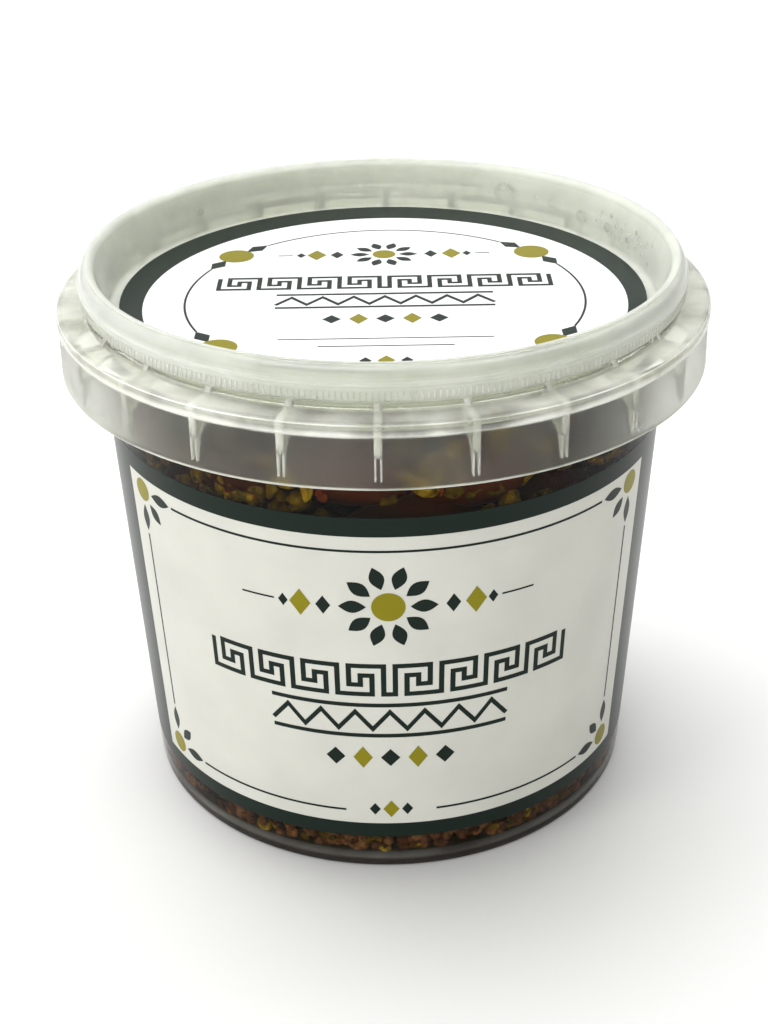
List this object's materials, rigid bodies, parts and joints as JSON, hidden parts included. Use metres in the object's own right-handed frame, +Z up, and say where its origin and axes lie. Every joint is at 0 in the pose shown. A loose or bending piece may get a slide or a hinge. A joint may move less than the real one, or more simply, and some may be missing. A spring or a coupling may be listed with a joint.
{
  "type": "lidded tub of marinated olives",
  "caption": "Round clear plastic tub of dark marinated olives, shut with a sunken press-on lid inside a ribbed tamper skirt, with a printed wrap and lid disc.",
  "frame": {"origin": "centre of the tub's foot, on the surface that it stands on", "axes": "+Z up along the tub's axis, -Y towards the front of the printed wrap"},
  "size_m": [0.102, 0.102, 0.0898],
  "materials": {
    "clear_plastic": "clear moulded polypropylene with a slight haze",
    "lid_plastic": "milky clear moulded polypropylene",
    "wrap_print": "satin printed film, off-white panel in dark green bands",
    "disc_print": "printed film disc, white with a dark green ring",
    "marinade": "wet dark olives, chopped garlic and herbs in oil"
  },
  "bodies": {
    "root": {"tub": "clear_plastic", "lid": "lid_plastic", "tub_label": "wrap_print", "lid_label": "disc_print", "olives": "marinade"}
  },
  "joints": []
}
